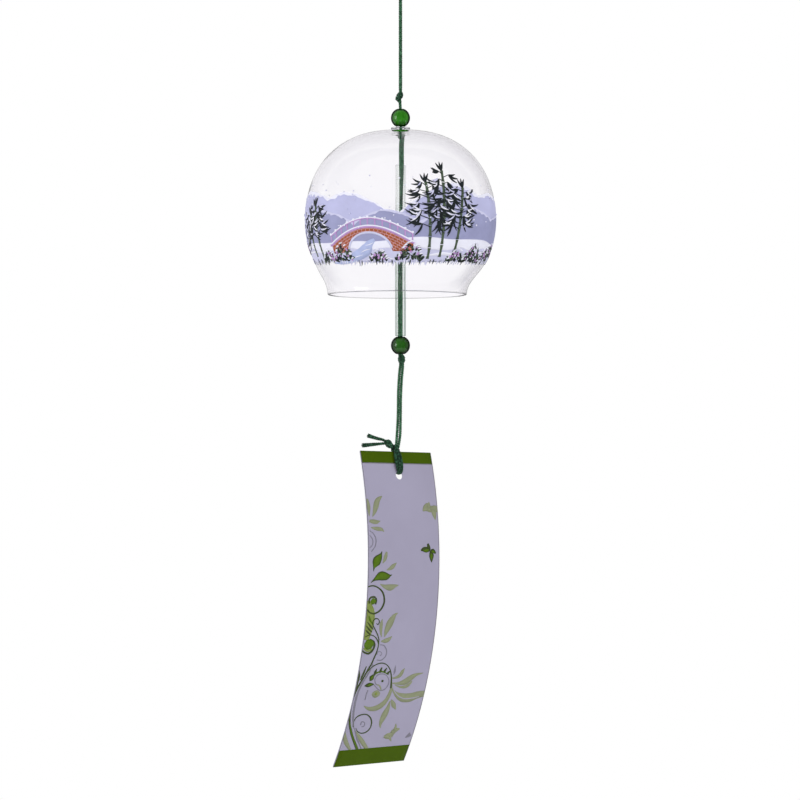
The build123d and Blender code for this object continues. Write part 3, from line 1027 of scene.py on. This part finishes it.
def on_bell(around, height, out):
    """A point over the bell: round it from the front to the right, up from the middle and out."""
    z = PRINT_MIDDLE + height
    centre, radius = SHOULDER if z > SHOULDER_FOOT else SIDE if z > EQUATOR else BELLY
    rise = (z - centre[1]) / radius
    away = centre[0] + (radius + out) * sqrt(1 - rise * rise)
    z += out * rise
    angle = around / BELL_RADIUS
    return Vector((away * sin(angle) + mouth_lean(z), -away * cos(angle), z)) * MM


HILL, NEAR, SNOW, SHADE, WATER, BRICK, JOINT, PINE, MOSS, BLOOM, BACK = range(11)
bell_inks = inks(
    ("hill_lavender", (180, 181, 216), 130, 0.08),
    ("hill_near", (148, 150, 186), 130, 0.1),
    ("snow", (226, 226, 240), 200, 0.05),
    ("snow_shade", (196, 196, 224), 200, 0.07),
    ("water", (172, 182, 220), 260, 0.1),
    ("bridge_brick", (156, 86, 58), 500, 0.2),
    ("bridge_joint", (206, 164, 172), 500, 0.1),
    ("bamboo_dark", (34, 40, 42), 500, 0.25),
    ("bamboo_moss", (74, 88, 70), 500, 0.2),
    ("blossom", (182, 144, 198), 500, 0.12),
    ("print_back", (176, 178, 204), 130, 0.08),
)
film = Film(0.03, 0.02, BACK)


def wander(around, seed, scale):
    """A wavering from about -0.5 to 0.5 that closes on itself round the bell."""
    angle = around / BELL_RADIUS
    return noise.noise(Vector((cos(angle) * scale + seed, sin(angle) * scale, seed)))


def skyline(*hills):
    """The upper edge of hills, each given by its centre, width and height."""
    def height_at(around):
        top = -30
        for centre, width, height in hills:
            share = ((around - centre + HALF) % ROUND - HALF) / width
            if abs(share) < 1.4:
                top = max(top, height - 9 * abs(share) ** 1.7 + 0.5 * wander(around, height, 9))
        return top
    return height_at


def band(low, high, level, ink):
    """A band of ink all the way round between two edges."""
    rows = []
    steps = int(ROUND / 0.7)
    for i in range(steps + 1):
        around = -HALF + ROUND * i / steps
        top = high(around)
        bottom = min(low(around), top - 0.05)
        rows.append([(around, bottom + (top - bottom) * k / 9) for k in range(10)])
    film.grid(rows, level, ink)


far_hills = skyline(
    (-50, 26, 13), (-24, 20, 10.5), (24, 20, 14.5), (48, 26, 12), (78, 24, 13),
    (112, 26, 8), (-86, 24, 9.5), (-118, 22, 9),
)
near_hills = skyline(
    (-38, 24, 4), (-6, 20, 3), (30, 25, 5.5), (58, 24, 3.5), (98, 22, 4), (-70, 22, 1.5),
    (-104, 24, 4.5),
)


def far_snow(around):
    top = far_hills(around)
    return top - 0.5 - 0.1 * max(0, top - 4) - 1.2 * wander(around, 7, 18)


def near_snow(around):
    return near_hills(around) - 0.9 - 1.1 * wander(around, 3, 22)


def ground_top(around):
    return -8.4 + 2.2 * wander(around, 5, 2)


def ground_foot(around):
    lift = 3 * (1 - cos(around / BELL_RADIUS))
    return -17.6 + lift + 0.8 * wander(around, 9, 3) + 0.5 * wander(around, 2, 16)


band(lambda around: -9, far_hills, 0, HILL)
band(far_snow, far_hills, 1, SNOW)
band(lambda around: -13, near_hills, 2, NEAR)
band(near_snow, near_hills, 3, SHADE)
band(ground_foot, ground_top, 4, SHADE)
band(
    lambda around: -12.2 + 1.4 * wander(around, 6, 4), lambda around: ground_top(around) - 0.1,
    5, SNOW,
)
for first, last, height, width in (
    (-62, -44, -11.4, 1.2), (10, 30, -14.6, 1.3), (34, 56, -12, 1.3), (-16, -2, -16.2, 1),
    (30, 48, -15.6, 1), (66, 88, -9.4, 1.1), (-92, -70, -9, 1.1), (98, 120, -8.6, 1.2),
    (-44, -30, -15.4, 1.1),
):
    middle = ((first + last) / 2, height + 0.5, width)
    drift = [(first, height - 0.7, 0.1), middle, (last, height - 0.4, 0.1)]
    film.flow(drift, 6, SNOW if height < -12 else SHADE, 0.8)

# A stream under a brick footbridge
film.flow(
    [
        (-11, -8.8, 1.2), (-13.4, -10.6, 3.2), (-15, -12.6, 4.6), (-19.6, -14.8, 4),
        (-27, -16.6, 2.6), (-34, -17.2, 0.6),
    ],
    6, WATER, 0.6,
)
for ripple in (
    [(-11.6, -10), (-13.4, -10.7), (-15.2, -11)],
    [(-13, -12.4), (-15.4, -12.8), (-17.8, -13.7)],
    [(-17, -14.6), (-20.4, -15.3), (-24, -16.2)],
    [(-22.4, -15.2), (-26, -16), (-29.6, -16.8)],
):
    film.flow([(*place, width) for place, width in zip(ripple, (0.1, 0.34, 0.1))], 7, SNOW)

BRIDGE_LEFT, BRIDGE_RIGHT = -33, 6
BRIDGE_FOOT = -13.4


def deck(rise):
    """A line over the bridge's deck, or under it, level past its ends."""
    def height_at(around):
        around = max(BRIDGE_LEFT, min(BRIDGE_RIGHT, around))
        t = (around - BRIDGE_LEFT) / (BRIDGE_RIGHT - BRIDGE_LEFT)
        return -10.4 + 6.6 * sin(pi * t) ** 1.1 + rise
    return height_at


def vault(around):
    share = (around - (BRIDGE_LEFT + BRIDGE_RIGHT) / 2) / 10.2
    return -14.6 + (8.2 * sqrt(1 - share * share) if abs(share) < 1 else 0)


def along_bridge(first, last, height, width, step=0.6):
    count = max(2, int((last - first) / step))
    places = [first + (last - first) * i / count for i in range(count + 1)]
    return [(a, height(a), width) for a in places]


wall = []
for a, top, _ in along_bridge(BRIDGE_LEFT + 0.6, BRIDGE_RIGHT - 0.6, deck(0), 0, 0.4):
    foot = min(max(vault(a), BRIDGE_FOOT), top - 0.1)
    wall.append([(a, foot + (top - foot) * k / 6) for k in range(7)])
film.grid(wall, 8, BRICK)
for course in range(7):
    joint = deck(-(0.6 + 1.1 * course))
    a = BRIDGE_LEFT + 1 + 0.9 * (course % 2)
    while a < BRIDGE_RIGHT - 2.2:
        if all(joint(end) > max(vault(end), BRIDGE_FOOT) + 0.3 for end in (a, a + 1.6)):
            film.ribbon(along_bridge(a, a + 1.55, joint, 0.17), 9, JOINT)
            film.ribbon([(a, joint(a), 0.16), (a, joint(a) - 1, 0.16)], 9, JOINT)
        a += 1.75
film.ribbon(along_bridge(-23.4, -3.6, lambda around: vault(around) + 0.4, 0.85, 0.25), 10, SHADE)
for first, last, rise, width, level, ink in (
    (-33.4, 6.4, 0.1, 0.9, 10, BLOOM), (-33.2, 6.2, 0.62, 0.5, 11, SNOW),
    (-32, 5, 3.4, 0.5, 10, BLOOM), (-32, 5, 3.78, 0.42, 11, SNOW),
):
    film.ribbon(along_bridge(first, last, deck(rise), width), level, ink)
for i in range(13):
    a = -32 + 37 * i / 12
    post = [(a, deck(rise)(a), width) for rise, width in ((0.4, 0.6), (2, 0.5), (3.6, 0.6))]
    film.ribbon(post, 10, BLOOM)
    film.dot(a, deck(3.95)(a), 0.52, 12, SNOW)


def bamboo(around, foot, top, lean, sprays, seed):
    """A jointed stem with fans of drooping leaves, some with snow on them."""
    rng = random.Random(seed)

    def stem(t):
        return around + lean * t * t, foot + (top - foot) * t

    for i in range(7):
        places = [stem((i + 0.94 * k / 4) / 7) for k in range(5)]
        widths = (1.3, 0.95, 0.9, 0.95, 1.25)
        film.ribbon([(*place, 1.15 * width) for place, width in zip(places, widths)], 9, MOSS)
    for i in range(sprays):
        t = 0.4 + 0.58 * (i + rng.uniform(0, 0.5)) / sprays
        side = 1 if i % 2 else -1
        a, h = stem(t)
        size = 0.75 + 0.3 * sin(pi * t)
        hub = (a + side * rng.uniform(1, 4.2) * size, h + rng.uniform(0.3, 1.6))
        film.flow([(a, h, 0.35), (*hub, 0.25)], 9, PINE)
        for k in range(rng.choice((3, 4, 4, 5))):
            angle = radians(rng.uniform(-76, 30))
            long = rng.uniform(3.8, 6.6) * size
            out, up = side * long * cos(angle), long * sin(angle)
            tip = (hub[0] + out, hub[1] + up)
            film.leaf(hub, tip, rng.uniform(0.6, 0.9), 10 + k % 3, PINE, -0.1 * side, 0.4)
            if rng.random() < 0.5 and angle > -0.9:
                root = (hub[0] + side * 0.4, hub[1] + 0.3)
                end = (hub[0] + out * 0.7, hub[1] + up * 0.7 + 0.32)
                ink = SNOW if rng.random() < 0.6 else SHADE
                film.leaf(root, end, 0.5, 13, ink, -0.1 * side, 0.45)
    a, h = stem(1)
    for angle in (70, 95, 125):
        turn = radians(angle)
        film.leaf((a, h - 0.4), (a + 4 * cos(turn), h + 3.4 * sin(turn)), 0.9, 10, PINE, 0.05, 0.4)


for clump in (
    (12.5, -16.2, 14.5, -2, 13, 21), (18, -15.4, 19.5, 0.5, 15, 22),
    (25, -16.6, 13, 3, 13, 23), (-47, -14, 3.5, 1, 9, 24),
    (-41, -15.4, 6.5, -1, 10, 25), (-96, -10, 10, 2.5, 10, 31),
    (-86, -10.5, 7, -2, 10, 32), (76, -10.5, 9, 2, 10, 33),
    (86, -10.5, 12, -1.5, 11, 34), (114, -9, 8, 2, 10, 35),
):
    bamboo(*clump)


def bush(around, foot, width, height, seed):
    """A low evergreen bush with snow on it and a few blossoms."""
    rng = random.Random(seed)

    def place(rise):
        spread = rng.uniform(-1, 1)
        return around + spread * width / 2, foot + height * (1 - spread * spread) * rise

    for i in range(int(width * height)):
        a, h = place(rng.uniform(0, 0.9))
        turn = rng.uniform(0.2, 2.9)
        film.leaf(
            (a, h), (a + 2 * cos(turn), h + 1.7 * sin(turn)), rng.uniform(0.5, 0.8), 9 + i % 3,
            rng.choice((PINE, PINE, MOSS)), 0.1, 0.45, 6,
        )
    for _ in range(14):
        a, h = place(1)
        film.leaf((a - 0.6, h + 0.5), (a + 0.9, h + 0.9), 0.5, 12, SNOW, 0.1, 0.5, 6)
    for _ in range(9):
        a, h = place(rng.uniform(0.2, 0.95))
        film.dot(a, h + 0.4, rng.uniform(0.3, 0.5), 13, BLOOM)


for clump in (
    (-27.5, -16.8, 10, 6.4, 41), (4.5, -17, 11, 6.6, 42), (37, -16.8, 12, 7, 43),
    (-37, -16.6, 8, 4.6, 48), (-9.5, -17.4, 8, 4, 49), (27, -17, 9, 4.4, 50),
    (48, -15.6, 9, 4.6, 51), (-62, -12.4, 10, 5, 44), (54, -14, 11, 5, 45),
    (104, -11, 11, 5, 46), (-112, -11, 11, 5, 47),
):
    bush(*clump)

# Grass along the lower edge, and falling snow
dice = random.Random(11)
for i in range(210):
    a = -HALF + ROUND * (i + dice.random()) / 210
    h = ground_foot(a)
    turn = radians(dice.uniform(-115, -65))
    long = dice.uniform(0.8, 1.7)
    ink = dice.choice((SNOW, SHADE, SHADE, PINE))
    film.leaf(
        (a, h + 0.8), (a + long * cos(turn), h + long * sin(turn)), dice.uniform(0.35, 0.7), 7, ink,
        0.08, 0.4, 6,
    )
for _ in range(140):
    a, h = dice.uniform(-HALF, HALF), dice.uniform(-4, 17)
    film.dot(a, h, dice.uniform(0.14, 0.34), 14, SNOW if dice.random() < 0.7 else SHADE)

put_on(finished("bell_print", film.laid(on_bell), *bell_inks), "globe", "clear_glass")


# ---- Floor: grey, and white to the camera away from its middle

floor_look = Look("floor")
floor_look.set(Base_Color=(0.9, 0.9, 0.9, 1), Roughness=0.8)
place = floor_look.node("TexCoord").outputs["Object"]
away = floor_look.node("VectorMath", place, operation="LENGTH").outputs["Value"]
fade = floor_look.node("MapRange", away, 0.16, 0.36).outputs["Result"]
camera_ray = floor_look.node("LightPath").outputs["Is Camera Ray"]
seen = floor_look.node("Math", fade, camera_ray, operation="MULTIPLY").outputs[0]
white = floor_look.node("Emission", Color=WHITE, Strength=1).outputs[0]
floor_look.show(floor_look.mixed(seen, floor_look.shader.outputs[0], white))

bm = bmesh.new()
bmesh.ops.create_circle(bm, cap_ends=True, segments=96, radius=0.55)
floor = finished("floor", bm, floor_look.material)
floor.location = (0, 0, -0.47)


# ---- World: white behind the object, and softer greys to its sides in glass and gloss

world = bpy.data.worlds.new("studio")
world.use_nodes = True
world.node_tree.nodes.clear()
studio = Nodes(world.node_tree)
direction = studio.along("Generated")
ray = studio.node("LightPath").outputs


def light_from(sideways, upright, away):
    """Light that changes with its direction: its tone at places from -1 to 1 along X, Z and Y."""
    tones = []
    for axis, stops in (("X", sideways), ("Z", upright), ("Y", away)):
        span = studio.node("MapRange", direction[axis], -1).outputs["Result"]
        tones.append(studio.ramp(
            span, *(((at + 1) / 2, (tone * 0.995, tone * 0.99, tone, 1)) for at, tone in stops)
        ))
    tint = studio.times(studio.times(tones[0], tones[1]), tones[2])
    return studio.node("Background", tint, Strength=1).outputs[0]


def plain_light(strength):
    return studio.node("Background", Color=WHITE, Strength=strength).outputs[0]


in_gloss = light_from(
    (
        (-1, 0.9), (-0.65, 1), (-0.27, 1), (0, 0.9), (0.15, 0.8), (0.3, 0.66), (0.55, 0.36),
        (0.75, 0.2), (1, 0.3),
    ),
    ((-1, 0.7), (-0.3, 0.95), (0.12, 1), (0.5, 0.95), (0.75, 0.97), (1, 0.8)),
    ((-1, 0.12), (-0.5, 0.2), (-0.15, 0.85), (0.05, 1), (0.8, 1), (0.93, 0.93), (1, 0.5)),
)
through_glass = light_from(
    ((-1, 0.95), (-0.5, 0.97), (-0.2, 1), (0.2, 1), (0.6, 0.88), (1, 0.84)),
    ((-1, 0.75), (-0.5, 0.92), (-0.25, 1), (0.35, 1), (0.7, 0.65), (1, 0.5)),
    ((-1, 1), (1, 1)),
)
light = studio.mixed(ray["Is Glossy Ray"], plain_light(0.6), in_gloss)
light = studio.mixed(ray["Is Transmission Ray"], light, through_glass)
light = studio.mixed(ray["Is Camera Ray"], light, plain_light(1))
studio.node("OutputWorld", light)
scene.world = world


# ---- Lamps

def lamp(name, place, target, size, power, seen=False):
    data = bpy.data.lights.new(name, "AREA")
    data.shape = "RECTANGLE"
    data.size, data.size_y = size
    data.energy = power
    made = bpy.data.objects.new(name, data)
    made.location = place
    made.rotation_euler = (Vector(target) - Vector(place)).to_track_quat("-Z", "Y").to_euler()
    made.visible_glossy = seen
    made.visible_transmission = False
    scene.collection.objects.link(made)


lamp("left", (-1.05, -0.6, -0.08), (0, 0, -0.15), (0.55, 0.65), 6, seen=True)
lamp("right", (1.05, -0.5, -0.08), (0, 0, -0.15), (0.4, 0.7), 4.5)
lamp("front", (0.1, -1, 0.6), (0, 0, -0.2), (0.6, 0.4), 3.5)
lamp("rear", (0.2, 0.9, 0.4), (0, 0, -0.19), (0.6, 0.6), 2.5)
